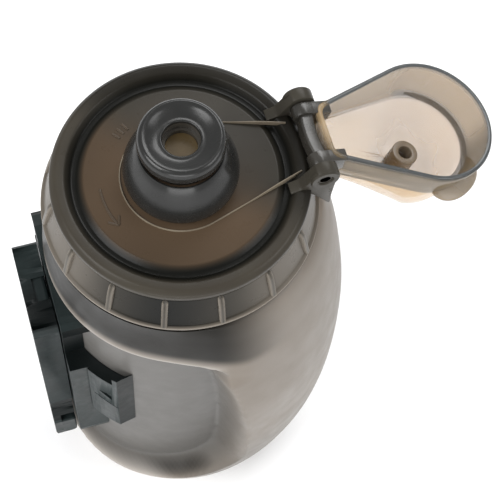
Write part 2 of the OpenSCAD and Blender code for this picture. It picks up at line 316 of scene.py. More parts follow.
def piece(obj, body, material, slot, *nodes, sharp=38):
    """Finishes an object as a visible piece: shading, material, body, and the nodes it stands for."""
    for p in obj.data.polygons:
        p.use_smooth = True
    obj.data.set_sharp_from_angle(angle=math.radians(sharp))
    obj.data.materials.clear()
    obj.data.materials.append(material)
    if nodes:
        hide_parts(*nodes)
    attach(obj, body)
    return obj


# ------------------------------------------------------------------ materials

def tone(*rgb):
    """A display colour from 0 to 255 as the linear colour that shaders use."""
    return [((c / 255 + 0.055) / 1.055) ** 2.4 if c > 10 else c / 3294.6 for c in rgb] + [1]


class Shade:
    """A node material built round one Principled shader."""

    def __init__(self, name, roughness, specular=0.5, **sockets):
        self.material = bpy.data.materials.new(name)
        self.material.use_nodes = True
        self.tree = self.material.node_tree
        self.shader = self.tree.nodes["Principled BSDF"]
        self.shader.inputs["Roughness"].default_value = roughness
        self.shader.inputs["Specular IOR Level"].default_value = specular
        for key, value in sockets.items():
            self.shader.inputs[key.replace("_", " ")].default_value = value
        self.place = self.node("ShaderNodeTexCoord").outputs["Object"]

    def node(self, kind, **settings):
        made = self.tree.nodes.new(kind)
        for key, value in settings.items():
            setattr(made, key, value)
        return made

    def link(self, a, b):
        self.tree.links.new(a, b)

    def noise(self, scale_mm, detail=3.0):
        """Noise whose blotches are about scale_mm across."""
        made = self.node("ShaderNodeTexNoise")
        made.inputs["Scale"].default_value = 1 / (scale_mm * MM)
        made.inputs["Detail"].default_value = detail
        made.inputs["Roughness"].default_value = 0.55
        self.link(self.place, made.inputs["Vector"])
        return made.outputs["Fac"]

    def painted(self, name):
        """The number that paint() or paint_faces() left under this name."""
        return self.node("ShaderNodeAttribute", attribute_name=name).outputs["Fac"]

    def ramp(self, value, low, high, from_low=0.0, from_high=1.0):
        """The value's range from_low to from_high stretched to low to high."""
        made = self.node("ShaderNodeMapRange")
        for key, number in zip(("From Min", "From Max", "To Min", "To Max"),
                               (from_low, from_high, low, high)):
            made.inputs[key].default_value = number
        self.link(value, made.inputs["Value"])
        return made.outputs["Result"]

    def mix(self, factor, a, b):
        """Colour a where factor is 0 and b where it is 1; either may be a colour or a socket."""
        made = self.node("ShaderNodeMix", data_type="RGBA")
        self.link(factor, made.inputs["Factor"])
        sockets = [s for s in made.inputs if s.type == "RGBA"]
        for socket, colour in zip(sockets, (a, b)):
            if isinstance(colour, (list, tuple)):
                socket.default_value = colour
            else:
                self.link(colour, socket)
        return [s for s in made.outputs if s.type == "RGBA"][0]

    def cloudy(self, scale_mm, detail, a, b):
        """Two near colours in soft blotches."""
        return self.mix(self.ramp(self.noise(scale_mm, detail), 0, 1, 0.35, 0.65), a, b)

    def colour(self, socket):
        self.link(socket, self.shader.inputs["Base Color"])

    def roughness(self, value, low, high):
        self.link(self.ramp(value, low, high, 0.3, 0.7), self.shader.inputs["Roughness"])

    def bump(self, height, depth_mm):
        made = self.node("ShaderNodeBump")
        made.inputs["Distance"].default_value = depth_mm * MM
        made.inputs["Strength"].default_value = 1
        self.link(height, made.inputs["Height"])
        self.link(made.outputs["Normal"], self.shader.inputs["Normal"])


def speckled(name, light, dark, roughness, grain_mm, depth_mm, specular=0.5, blotch_mm=9, **sockets):
    """A moulded material: two near colours in soft blotches, uneven gloss and a fine grain."""
    s = Shade(name, roughness, specular, **sockets)
    s.colour(s.cloudy(blotch_mm, 3, dark, light))
    s.roughness(s.noise(blotch_mm / 3), roughness - 0.04, roughness + 0.05)
    s.bump(s.noise(grain_mm, 2), depth_mm)
    return s


def make_bottle_material():
    """Milky smoke plastic: greyer on the panel, darker where painted shade lies, paler where painted light
    lies.
    """
    s = Shade("bottle_plastic", 0.4, 0.14)
    smoke = s.cloudy(16, 2, tone(116, 108, 99), tone(122, 115, 107))
    panel = s.mix(s.painted("panel"), smoke, tone(92, 90, 87))
    shadowed = s.mix(s.painted("painted_shade"), panel, tone(24, 22, 18))
    edge = s.mix(s.painted("painted_light"), shadowed, tone(186, 180, 173))
    s.colour(edge)
    s.roughness(s.noise(5), 0.32, 0.42)
    s.bump(s.noise(0.5, 2), 0.008)
    return s.material


def make_cap_material():
    """Dark smoke plastic: browner on the disc, near black where painted deep shade lies, paler where painted
    highlights lie along edges.
    """
    s = Shade("cap_plastic", 0.3, 0.12)
    smoke = s.cloudy(12, 2, tone(50, 48, 43), tone(55, 53, 47))
    disc = s.mix(s.painted("disc"), smoke, tone(82, 67, 52))
    painted_deep_shade = s.mix(s.painted("painted_deep_shade"), disc, tone(14, 14, 11))
    edge = s.mix(s.painted("edge"), painted_deep_shade, tone(140, 131, 120))
    s.colour(edge)
    s.roughness(s.noise(4), 0.26, 0.34)
    s.bump(s.noise(0.7, 2), 0.005)
    return s.material


def make_cover_material():
    """See-through tan plastic: darker and thicker on the walls, darker still as painted shade on the near
    walls and in the fold, with a grey rim.
    """
    s = Shade("cover_plastic", 0.2, 0.4)
    tan = s.cloudy(14, 2, tone(200, 170, 128), tone(208, 178, 134))
    walls = s.mix(s.painted("wall"), tan, tone(104, 90, 68))
    painted_fold_shade = s.mix(s.painted("painted_fold_shade"), walls, tone(96, 84, 68))
    s.colour(s.mix(s.painted("rim"), painted_fold_shade, tone(58, 61, 62)))
    body = s.ramp(s.painted("wall"), 0.46, 0.76)
    thick = s.node("ShaderNodeMath", operation="MAXIMUM")
    s.link(body, thick.inputs[0])
    s.link(s.ramp(s.painted("rim"), 0, 0.95), thick.inputs[1])
    s.link(thick.outputs[0], s.shader.inputs["Alpha"])
    s.roughness(s.noise(5), 0.16, 0.25)
    s.bump(s.noise(0.8, 2), 0.006)
    return s.material


def metal(name, colour, roughness):
    """Brushed metal in two near tones of one colour."""
    s = speckled(name, colour, [c * 0.8 for c in colour[:3]] + [1], roughness, 0.25, 0.004)
    s.shader.inputs["Metallic"].default_value = 1
    return s.material


def make_nylon_material():
    """Dark green-grey nylon, near black where painted shade lies."""
    s = speckled("mount_nylon", tone(35, 43, 43), tone(28, 35, 35), 0.42, 0.22, 0.01, 0.16, 6)
    plain = s.shader.inputs["Base Color"].links[0].from_socket
    s.colour(s.mix(s.painted("painted_shade"), plain, tone(3, 6, 6)))
    return s.material


BOTTLE = make_bottle_material()
CAP = make_cap_material()
COVER = make_cover_material()
RUBBER = speckled("seal_rubber", tone(46, 46, 46), tone(34, 34, 34), 0.6, 0.4, 0.01).material
VALVE = speckled("valve_plastic", tone(94, 78, 50), tone(80, 66, 42), 0.3, 0.5, 0.008, 0.3).material
SOFT = speckled("soft_grip", tone(36, 36, 35), tone(30, 30, 29), 0.24, 0.35, 0.004, 0.34).material
# Core plastic: greyer than the black plastic it is made of, as painted reflection on the hole's inner wall.
CORE = speckled("core_plastic", tone(74, 70, 64), tone(60, 57, 52), 0.3, 0.6, 0.006).material
HINGE = speckled("hinge_plastic", tone(56, 53, 48), tone(44, 42, 38), 0.24, 0.6, 0.006, Alpha=0.97).material
PLUG = speckled("plug_plastic", tone(120, 106, 88), tone(108, 94, 76), 0.26, 0.6, 0.006, Alpha=0.85).material
LINE = speckled("seat_line_plastic", tone(128, 118, 102), tone(108, 98, 84), 0.16, 0.6, 0.004).material
NYLON = make_nylon_material()
STEEL = metal("pin_steel", tone(190, 190, 188), 0.3)
NICKEL = metal("magnet_nickel", tone(205, 202, 195), 0.22)

# ------------------------------------------------------------------ bottle

# Radius of the full round body at heights from the rim, from the foot up to the shoulder
BODY_SIDE = [(23.2, -123.9), (26.6, -122), (29.2, -118), (31.6, -112), (33.6, -104), (35.3, -95), (36.6, -86),
             (37.3, -77), (BODY_R, -67), (37.2, -56), (36.5, -46), (35.1, -36), (33.3, -26), (31.2, -18.5),
             (29, -14.2), (28.2, -13.4)]
NECK_BAND_R = 28.2                  # the narrow front just under the cap
UNDERSIDE = [(0.4, -121.3), (7, -121.4), (14, -121.8), (19.2, -122.9), (20.6, -123.9)]


def rounded_corner(a, b, radius):
    """The smaller of two distances to an edge, with the corner between the edges rounded."""
    near = (a < radius) & (b < radius)
    round_off = radius - np.hypot(np.maximum(radius - a, 0), np.maximum(radius - b, 0))
    return np.where(near, round_off, np.minimum(a, b))


def from_front(turn):
    """Degrees away from -X, where the mount is."""
    return np.abs(180 - np.degrees(turn) % 360)


# The recess seen from the side: heights from the rim with the x of its outer edge, and its lower edge
RECESS_EDGE = [(-100, 5.0), (-82, 6.2), (-69, 6.5), (-57, 5.6), (-42, 3.5), (-34, 1.6)]
RECESS_LOW, RECESS_LOW_X, RECESS_SLOPE = -102.0, -5.6, 0.47
RECESS_CORNER, RECESS_TOP_CORNER = 13, 6
BAND = 4.2                          # width of the sloped band round the recess
LOW_STEEPNESS, TOP_STEEPNESS = 1.4, 1.9         # of the band's lower and upper stretches
RIDGE_Z = -28.4                     # the ridge between the neck band and the recess


def body_radius(r, z, turn):
    """Radius of the body where the full round outline is r, less in the recess at the front; and how
    far into the recess the place is, from 0 to 1."""
    slim = NECK_BAND_R + ease((-14 - z) / 14)
    full_share = ease(np.clip((from_front(turn) - 50) / 52, 0, 1) ** 2)
    narrow = (1 - full_share) * (1 - ease((-31.5 - z) / 3.5))
    top = r + (np.minimum(slim, r) - r) * narrow
    x = top * np.cos(turn)
    heights, edges = zip(*RECESS_EDGE)
    side = curve(heights, edges, np.clip(z, heights[0], heights[-1])) - x
    low = (z - RECESS_LOW - RECESS_SLOPE * (x - RECESS_LOW_X)) * LOW_STEEPNESS
    under = (RIDGE_Z - z) * TOP_STEEPNESS
    depth = rounded_corner(rounded_corner(side, low, RECESS_CORNER), under, RECESS_TOP_CORNER)
    t = np.clip(depth / BAND, 0, 1)
    step = t - 0.035 * np.sin(2 * math.pi * t)
    return top - step * (top - PANEL_R), step


def bottle_rings():
    """Rings of the body from the middle of the underside, up the outside and down the inside."""
    turns = np.linspace(0, 2 * math.pi, 360, endpoint=False)
    outside = smooth_path(BODY_SIDE, 170)
    neck = fillet([(NECK_BAND_R, -13.4, 0.4), (24, -13.2, 0.3), (NECK_R, -13.2, 0.5), (NECK_R, NECK_TOP, 0.4),
                   (NECK_BORE, NECK_TOP, 0.4), (NECK_BORE, -14.2, 1.2), (26, -15.2, 1.5)], closed=False)
    floor_inside = [(24, -122.2), (18, -121.4), (8, -120.2), (0.4, -120)]

    def round_ring(r, z):
        return [(r * math.cos(t), r * math.sin(t), RIM + z) for t in turns]

    def body_ring(r, z, inset=0.0):
        radius = body_radius(r, np.full(len(turns), z), turns)[0] - inset
        return [(a * math.cos(t), a * math.sin(t), RIM + z) for a, t in zip(radius, turns)]

    rings = [round_ring(r, z) for r, z in smooth_path(UNDERSIDE, 24)]
    rings += [body_ring(r, z) for r, z in outside]
    rings += [round_ring(r, z) for r, z in neck[1:-1]]
    rings += [body_ring(r, z, WALL) for r, z in outside[::-3] if -15.4 > z > -122]
    return rings + [round_ring(r, z) for r, z in floor_inside]


def paint_bottle(obj):
    """Painted tones of the body: panel, shadow band under the cap, shaded slopes, highlight on the ridge,
    paler foot.
    """
    co = positions(obj)
    z = co[:, 2] - RIM
    turn = np.arctan2(co[:, 1], co[:, 0])
    front = from_front(turn)
    radii, heights = zip(*BODY_SIDE)
    _, step = body_radius(np.interp(z, heights, radii), z, turn)
    on_slope = step * (1 - step)
    beside = 1 - step
    # Painted shadow in a band under the cap, and painted shade on the recess's lower slope, the lower sides
    # and the recess walls.
    cap_shadow = ease((z + 27.6) / 3.6) * ease((122 - front) / 34)
    low_slope = np.clip(4 * on_slope, 0, 1) * ease((-92 - z) / 9)
    low_side = ease((-62 - z) / 34) * ease((110 + z) / 8) * beside * ease((front - 60) / 30)
    wall = np.clip(2 * np.sqrt(np.clip(on_slope, 0, 1)), 0, 1)
    # Painted highlight along the ridge, and painted light on the foot.
    ridge = np.exp(-((z - RIDGE_Z) / 0.8) ** 2) * ease((94 - front) / 10)
    foot = ease((-103 - z) / 4) * beside * ease((100 - front) / 30)
    # The recessed panel is painted greyer, as painted shade in the recess.
    paint(obj, "panel", step * ease((RIDGE_Z - z) / 2))
    paint(obj, "painted_shade", np.maximum.reduce([cap_shadow, 0.85 * low_slope, 0.34 * low_side, 0.3 * wall]))
    paint(obj, "painted_light", np.maximum(0.5 * ridge, 0.55 * foot))


def make_bottle():
    obj = solid("bottle_shell", loft(bottle_rings(), caps=True))
    paint_bottle(obj)
    piece(obj, "bottle", BOTTLE, "bottle_plastic", "bottle_body", sharp=60)


def thread(r, facing, low, degrees):
    """A helical thread ridge; facing is 1 for an outer thread and -1 for an inner one."""
    turns = np.radians(np.linspace(0, degrees, int(degrees / 4)))
    rings = []
    for i, a in enumerate(turns):
        grow = min(1, i / 5, (len(turns) - 1 - i) / 5)
        crest = r + facing * (0.05 + (TOOTH - 0.05) * grow)
        section = [(r - facing * 0.3, -0.62), (crest, -0.28), (crest, 0.28), (r - facing * 0.3, 0.62)]
        climb = low + THREAD_LEAD * a / (2 * math.pi)
        rings.append([(q * math.cos(a), q * math.sin(a), RIM + climb + z) for q, z in section])
    return loft(rings, caps=True)


make_bottle()
neck_thread = solid("neck_thread", thread(NECK_R, 1, THREAD_LOW, 540))
# Painted shade on the neck's thread under the cap.
paint_all(neck_thread, "painted_shade", 0.2)
piece(neck_thread, "bottle", BOTTLE, "bottle_plastic")

# ------------------------------------------------------------------ cap

# Radius, height from the rim and corner radius: chimney, disc, groove, rim, skirt and inside
CAP_OUTLINE = [(6.6, -2.5, 0.2), (6.6, 8.5, 0.25), (8, 8.5, 0.25), (8, DISC_Z, 0.3),
               (DISC_R - 0.9, DISC_Z, 0.9), (DISC_R + 0.5, -1.5, 0.8), (DISC_R + 1.5, -1.5, 0.8),
               (DISC_R + 2.8, -0.15, 1.0),
               (24.9, 0, 1.1), (CAP_R, -1, 0.9), (CAP_R, -2.3, 0.55), (25.35, -3.0, 0.4), (25.7, -3.6, 0.5),
               (27.65, -10.9, 0.5), (SKIRT_R, -11.4, 0.3), (SKIRT_R, CAP_LOW_Z, 0.3), (26.9, CAP_LOW_Z, 0.3),
               (CAP_BORE, -11, 0.4), (CAP_BORE, -2.5, 0.4)]
SKIRT_DARK = 70                     # degrees from -X to where the painted shade on the skirt is darkest


def around(co):
    """Degrees from -X of each place."""
    return from_front(np.arctan2(co[:, 1], co[:, 0]))


def back_shade(co):
    """0 at the front left of the cap's top and 1 at the back right, where less light shines through."""
    return ease(((co[:, 0] + co[:, 1]) * 0.7 / DISC_R + 0.15) / 0.6)


def make_cap():
    obj = solid("cap_shell_detailed", lathe(fillet(CAP_OUTLINE, 4), 240))
    co = positions(obj)
    z, r = co[:, 2] - RIM, np.hypot(co[:, 0], co[:, 1])
    top = z > -2.4
    shade = back_shade(co)
    # Painted shade: dark in the groove, on the back of the rim and on the front of the skirt; painted
    # highlights along the skirt's lower edge and towards its sides.
    groove = np.exp(-((r - DISC_R - 0.9) / 1.9) ** 4) * (z > -2)
    rim_back = top * (r > DISC_R) * 0.7 * shade
    skirt_front = ~top * np.exp(-((around(co) - SKIRT_DARK + 2) / 27) ** 2)
    skirt_sides = (z < -2.6) * ease((np.abs(around(co) - SKIRT_DARK) - 26) / 26)
    hem = ease((-11.1 - z) / 0.35) * (r > 27.4)
    # Brown on the disc, fading at the back right as painted shade.
    paint(obj, "disc", np.where(top & (r < DISC_R + 0.1), 1 - 0.9 * shade, 0.12))
    paint(obj, "painted_deep_shade", np.maximum.reduce([groove, rim_back, skirt_front]))
    paint(obj, "edge", np.maximum(0.6 * hem, 0.275 * skirt_sides))
    piece(obj, "cap", CAP, "cap_plastic", "cap_shell", sharp=50)


def grip_rib():
    """One upright rib on the skirt, with a flat crown and a round lower end."""
    rings = []
    top, length, round_end = -3.3, 8.55, 0.07
    for t in np.linspace(0, 1, 26):
        z = top - length * t
        root = curve([-12.5, -10.9, -3.6, -3], [28.0, 27.65, 25.7, 25.45], z)
        past = (t - 1 + round_end) / round_end
        end = math.sqrt(max(1 - past ** 2, 0.02)) if past > 0 else min(1, 0.35 + t * 9)
        width, proud = 0.62 * end, 0.08 + 0.55 * end * min(1, 0.25 + t * 4)
        section = [(-width, -0.5), (-width, proud * 0.6), (-width * 0.72, proud * 0.95),
                   (0, proud), (width * 0.72, proud * 0.95), (width, proud * 0.6), (width, -0.5)]
        rings.append([(root + up, across, RIM + z) for across, up in section])
    return loft(rings, caps=True)


def make_ribs():
    ribs = solid("cap_grip_ribs", joined(*[turned(grip_rib(), RIB_START + RIB_STEP * i)
                                           for i in range(1, RIBS + 1)]))
    co = positions(ribs)
    half = RIB_STEP / 2
    turn = np.degrees(np.arctan2(co[:, 1], co[:, 0]))
    off_rib = np.radians(np.abs((turn - RIB_START + half) % RIB_STEP - half))
    # Painted highlights along the ribs' sides, and painted shade on the ribs at the skirt's front.
    paint(ribs, "edge", 0.1 + 0.5 * ease((off_rib * CAP_R - 0.3) / 0.2))
    paint(ribs, "painted_deep_shade", 0.8 * np.exp(-((around(co) - SKIRT_DARK) / 34) ** 2))
    piece(ribs, "cap", CAP, "cap_plastic", sharp=30)


def ear(side):
    """Hinge ear: a rounded cheek with a boss round the pin and a gusset down the skirt."""
    cheek_r = 3.1
    arc = [(HINGE_X + cheek_r * math.cos(a), HINGE_UP + cheek_r * math.sin(a), 0)
           for a in np.radians(np.linspace(122, -38, 14))]
    outline = fillet([(HINGE_X - 7.6, -0.6, 0.8), (HINGE_X - 4.6, 0.3, 1.5), *arc,
                      (SKIRT_R + 0.25, -5.2, 2), (SKIRT_R + 0.3, -9.6, 0.4), (CAP_R + 0.4, -6, 0.5),
                      (CAP_R - 1.2, -3.6, 0.5), (CAP_R - 3, -1.4, 0.5)], 3)
    obj = solid(f"cap_hinge_ear_{side}", prism(outline, *EAR_Y))
    bevel(obj, 0.35)
    ring = [(3.0, EAR_Y[1] - 0.6), (3.0, EAR_Y[1] + 0.05), (2.75, EAR_Y[1] + 0.35), (1.75, EAR_Y[1] + 0.35),
            (1.5, EAR_Y[1] + 0.1), (1.5, EAR_Y[1] - 0.6)]
    turns = np.linspace(0, 2 * math.pi, 40, endpoint=False)
    boss = loft([[(HINGE_X + r * math.cos(a), y, HINGE_Z + r * math.sin(a)) for r, y in ring]
                 for a in turns], loop=True)
    return obj, solid(f"cap_hinge_boss_{side}", boss)


def make_ears():
    for side in ("left", "right"):
        for obj in ear(side):
            if side == "left":
                obj.data.transform(Matrix.Scale(-1, 4, Vector((0, 1, 0))))
                tidy_mesh(obj)
            paint_all(obj, "disc", 0.06)
            piece(obj, "cap", CAP, "cap_plastic")


def seat_path(radius, turn, reach):
    """Arc round the spout on the -X side, with a straight run from each end to an ear, rising at the rim."""
    a = math.radians(turn)
    ahead = np.array([math.sin(a), -math.cos(a)])
    corner = radius * np.array([math.cos(a), math.sin(a)])
    runs = np.linspace(reach, 0.4, 24)
    start = [(*(corner + ahead * k), RIM + DISC_Z + 0.75 * ease((k - 8) / 8)) for k in runs]
    arc = [(radius * math.cos(t), radius * math.sin(t), RIM + DISC_Z)
           for t in np.linspace(a, 2 * math.pi - a, 90)]
    return [*start, *arc, *[(x, -y, z) for x, y, z in start[::-1]]]


def flat_bar(points, width, height, root=0.2):
    """A low moulded line that follows points on the disc."""
    section = [(-width / 2, -root), (-width / 2, height * 0.6), (-width / 4, height),
               (width / 4, height), (width / 2, height * 0.6), (width / 2, -root)]
    return sweep(points, [(0, 0, 1)] * len(points), section)


def ring_points(radius, start, end, count=24):
    """Points on the disc along an arc, from one angle to another."""
    return [(radius * math.cos(a), radius * math.sin(a), RIM + DISC_Z)
            for a in np.radians(np.linspace(start, end, count))]


def turn_marks():
    """Plain turning marks on the disc: a curved arrow and a row of ticks."""
    radius, start, tip_turn, tail_turn = 16.2, 176, 207, 201
    size = 0.5, 0.16                # width and height of every mark
    marks = [flat_bar(ring_points(radius, start, 205), *size)]
    tip = np.array(ring_points(radius, tip_turn, tip_turn, 1)[0])
    for bend in (-1.3, 1.3):
        tail = np.array(ring_points(radius + bend, tail_turn, tail_turn, 1)[0])
        marks.append(flat_bar([tip + (tail - tip) * k for k in (0, 0.5, 1)], *size))
    for tick_turn in (121, 126, 131):
        tick = [ring_points(r, tick_turn, tick_turn, 1)[0] for r in (14.6, 15.5, 16.4)]
        marks.append(flat_bar(tick, *size))
    return joined(*marks)


make_cap()
make_ribs()
make_ears()
seat_line = solid("cap_seat_line", flat_bar(seat_path(12.1, 73, 20.6), 0.3, 0.32, 0.9))
piece(seat_line, "cap", LINE, "cap_plastic")
marks = solid("cap_turn_marks", turn_marks())
paint_all(marks, "disc", 0.55)
piece(marks, "cap", CAP, "cap_plastic")
cap_thread = solid("cap_thread", thread(CAP_BORE, -1, THREAD_LOW + THREAD_LEAD / 2, 390))
piece(cap_thread, "cap", CAP, "cap_plastic")

# ------------------------------------------------------------------ spout and mouthpiece

collar_side = smooth_path([(10.1, DISC_Z), (11.0, 0.5), (COLLAR_R, 2.6), (11.25, 4.6), (10.55, 6.6),
                           (9.75, 8.3), (9.0, 9.7), (8.5, COLLAR_TOP - 0.15)], 34)
collar = [(8.05, DISC_Z + 0.05), *map(tuple, collar_side), (8.35, COLLAR_TOP), (8.05, COLLAR_TOP - 0.1)]
piece(solid("spout_collar_soft", lathe(collar)), "cap", SOFT, "soft_grip", "spout_collar", sharp=60)

lip_side = smooth_path([(7.3, 10.95), (7.55, 11.6), (8.1, 12.2), (8.5, 12.9), (LIP_R, 13.8), (8.52, 14.8),
                        (8.15, 15.6), (7.6, MOUTH_TOP - 0.02), (6.95, 15.85), (6.2, 15.45), (5.3, 15.05),
                        (4.5, 14.85), (4.15, 14.88), (3.9, 14.92), (HOLE_R, 14.7), (HOLE_R, 14.1)], 64)
lip = [(6.55, 10.95), *map(tuple, lip_side), (6.55, 14.1)]
piece(solid("mouthpiece_lip_soft", lathe(lip)), "mouthpiece", SOFT, "soft_grip", "mouthpiece_lip", sharp=60)

# ------------------------------------------------------------------ dust cover, drawn closed

def teardrop(r, end_x, end_y, high, low, bend=1.6):
    """The cover's outline at one level: a round end of radius r at height high, drawn out to the hinge
    at height low, with rounded corners."""
    bend = min(bend, end_y * 0.6, r * 0.6)
    d = math.hypot(end_x, end_y)
    first = math.atan2(end_y, end_x) + math.acos(min(1, r / d))
    arc = [(r * math.cos(a), r * math.sin(a)) for a in np.linspace(first, 2 * math.pi - first, 97)]
    corners = [np.array(arc[-1]), np.array((end_x, -end_y)), np.array((end_x, end_y)), np.array(arc[0])]
    out = list(map(np.array, arc))
    for i in (1, 2):
        before, here, after = corners[i - 1], corners[i], corners[i + 1]
        a = here + (before - here) / np.linalg.norm(before - here) * bend
        b = here + (after - here) / np.linalg.norm(after - here) * bend
        if i == 1:
            out += [before + (a - before) * k for k in np.linspace(0.06, 0.94, 16)]
        out += [(1 - t) ** 2 * a + 2 * t * (1 - t) * here + t * t * b for t in np.linspace(0, 1, 7)]
        if i == 1:
            out += [b + (np.array((end_x, end_y - bend)) - b) * k for k in np.linspace(0.1, 0.9, 7)]
        else:
            out += [b + (after - b) * k for k in np.linspace(0.06, 0.94, 16)]
    start = r * math.cos(first)
    out = np.array(out)
    slide = np.clip((out[:, 0] - start) / (end_x - start), 0, 1)
    return [(x, y, RIM + high + (low - high) * s) for (x, y), s in zip(out, slide)]


def cover_levels(inset):
    """Levels of the cover from rim to crown: round end's radius and height, hinge end's x, y and height."""
    levels = []
    start = COVER_LOW + 0.5
    end_top = COVER_END_Z - (0.5 if inset else 0)
    for t in np.linspace(0, 1, 13)[1 if inset else 0:]:
        levels.append((COVER_R - 1.75 * t ** 1.25 - inset, start + (SKIRT_TOP - start) * t,
                       COVER_END_X - inset, COVER_END_Y - 0.3 * t - inset, start + (end_top - start) * t))
    ledge_r = COVER_R - 2.6
    bulge = 2.6
    for t in np.linspace(0, 1, 30)[:-1]:
        q = (1 - t ** bulge) ** (1 / bulge)
        reach = q ** 0.5
        room = 0.7 * ease(t / 0.2)           # keeps the crown clear of the mouthpiece
        levels.append((max(ledge_r * q - inset, 0.12), SKIRT_TOP + (COVER_TOP - SKIRT_TOP) * t - inset,
                       max((COVER_END_X - 0.2 + room) * reach - inset, 0.3),
                       max((COVER_END_Y - 0.5 + room) * q - inset, 0.06),
                       COVER_END_Z + (COVER_TOP - 1.2 - COVER_END_Z) * (1 - reach) - inset))
    return levels


def make_cover():
    outer, inner = cover_levels(0), cover_levels(COVER_WALL)
    lip = [(COVER_R - back, COVER_LOW + up, COVER_END_X - back, COVER_END_Y - back, COVER_LOW + up)
           for back, up in ((0.95, 0.12), (0.55, 0), (0.2, 0.1))]
    levels = inner[::-1] + lip + outer
    rings = [teardrop(r, ex, ey, high, low) for r, high, ex, ey, low in levels]
    shape = loft(rings, caps=True)
    obj = solid("dust_cover_cup", swung_open(shape))
    x, y, z = np.array(shape[0]).T
    depth = z - RIM - COVER_LOW
    level = np.repeat(np.arange(len(levels)), len(rings[0]))
    on_wall = (level > len(inner) - 15) & (level < len(inner) + len(lip) + 14)
    # Painted shade: the walls darker on the cover's near side, and a dark line in the fold at the skirt's
    # top.
    near_side = ease((2 - y) / 8)
    painted_fold_shade = np.exp(-((depth - SKIRT_TOP + COVER_LOW + 0.4) / 0.7) ** 2) * ease((2 - x) / 2)
    paint(obj, "rim", np.clip(1 - (depth - 0.35) / 0.4, 0, 1) * ease((BLOCK_X + 2 - x) / 2))
    paint(obj, "wall", on_wall * (0.5 + 0.5 * near_side))
    paint(obj, "painted_fold_shade", on_wall * painted_fold_shade)
    piece(obj, "cover", COVER, "cover_plastic", "dust_cover", sharp=70)


def tube(inner_r, outer_r, low, high):
    """A tube about the axis with its lower edges rounded."""
    return lathe(fillet([(inner_r, low, 0.25), (outer_r, low, 0.25), (outer_r, high, 0.1),
                         (inner_r, high, 0.1)], 4), 72)


def skirt_arc(section, turn, height):
    """A section (radius, up) stood at the cover's round end, at an angle from -X towards -Y."""
    return [(-r * math.cos(turn), -r * math.sin(turn), RIM + height + up) for r, up in section]


def thumb_lip():
    """Ledge round the outside of the round end on the -Y side, widest in its middle."""
    rings = []
    skirt = COVER_R - 1.9
    inside = COVER_R - 2.6
    for a in np.linspace(-0.5, 0.5, 61):
        grow = math.sqrt(max(1 - abs(2 * a) ** 3, 0.0004))
        out = skirt + (LIP_REACH + COVER_R - skirt) * grow
        section = [(inside, 0.4), (out - 0.3, 0.3), (out, 0), (out - 0.3, -0.3), (inside, -0.4)]
        rings.append(skirt_arc(section, math.radians(LIP_TURN + LIP_SPAN * a), SKIRT_TOP - 0.2))
    return loft(rings, caps=True)


def ledge():
    """Narrow step inside the skirt's top, along the -Y side and the round end."""
    rings = []
    out = COVER_R - 2.4
    for t in np.linspace(0, 1, 61):
        grow = min(1, 8 * t + 0.05, 8 * (1 - t) + 0.05)
        inside = COVER_R - 2.5 - 0.9 * grow
        section = [(inside, 0.25), (out, 0.35), (out, -0.35), (inside, -0.25)]
        turn = math.radians(LEDGE_ENDS[0] - sum(LEDGE_ENDS) * t)
        rings.append(skirt_arc(section, turn, SKIRT_TOP - 0.6))
    return loft(rings, caps=True)


def knuckle():
    """Barrel round the pin with the thick block that joins it to the cover's end."""
    radius = 2.2
    barrel = [(HINGE_X + radius * math.cos(a), HINGE_UP + radius * math.sin(a), 0)
              for a in np.radians(np.linspace(100, -90, 16))]
    outline = fillet([*barrel, (HINGE_X - 1.6, HINGE_UP - 2.0, 0.4), (BLOCK_X, COVER_LOW + 0.2, 0.3),
                      (BLOCK_X, COVER_LOW + 3.4, 0.4), (BLOCK_X + 1.7, COVER_LOW + 4.6, 0.8)], 3)
    return prism(outline, 4.3, 6.9)


def hinge_bar():
    """Bowed barrel over the pin, between the two knuckles."""
    end, bow = 5.6, 0.8
    half_width, half_height = 1.45, 1.35
    points = [(HINGE_X + 0.3 - bow * (y / end) ** 2, y, HINGE_Z) for y in np.linspace(-end, end, 25)]
    section = fillet([(-half_width, -half_height, 0.5), (half_width, -half_height, 0.5),
                      (half_width, half_height, 0.4), (-half_width, half_height, 0.4)], 3)
    return sweep(points, [(0, 0, 1)] * len(points), section)


make_cover()
hinge = solid("dust_cover_knuckles", swung_open(joined(knuckle(), mirrored(knuckle()))))
bevel(hinge, 0.3)
piece(hinge, "cover", HINGE, "cover_plastic")
piece(solid("dust_cover_hinge_bar", swung_open(hinge_bar())), "cover", HINGE, "cover_plastic")
plug = solid("dust_cover_plug", swung_open(tube(1.5, 2.85, 13.4, COVER_TOP - 0.9)))
piece(plug, "cover", PLUG, "cover_plastic")
thumb = solid("dust_cover_thumb_lip", swung_open(thumb_lip()))
paint_all(thumb, "wall", 0.8)
piece(thumb, "cover", COVER, "cover_plastic", sharp=50)
inner_ledge = solid("dust_cover_ledge", swung_open(ledge()))
# Painted shade over the whole step inside the skirt.
paint_all(inner_ledge, "painted_fold_shade", 1)
piece(inner_ledge, "cover", COVER, "cover_plastic", sharp=50)

# ------------------------------------------------------------------ bicycle mount

def flat_shaded(obj):
    """Keeps big flat faces flat in the light, and the rounded edges between them round."""
    obj.modifiers.new("normals", "WEIGHTED_NORMAL").keep_sharp = True
    apply_modifiers(obj)
    for p in obj.data.polygons:
        p.use_smooth = p.area < FLAT_FACE


def wing_spot(turn, z, r=WING_R):
    """Place on the near wing's outer face, at an angle from -X."""
    a = math.radians(180 + turn)
    return (r * math.cos(a), r * math.sin(a), z)


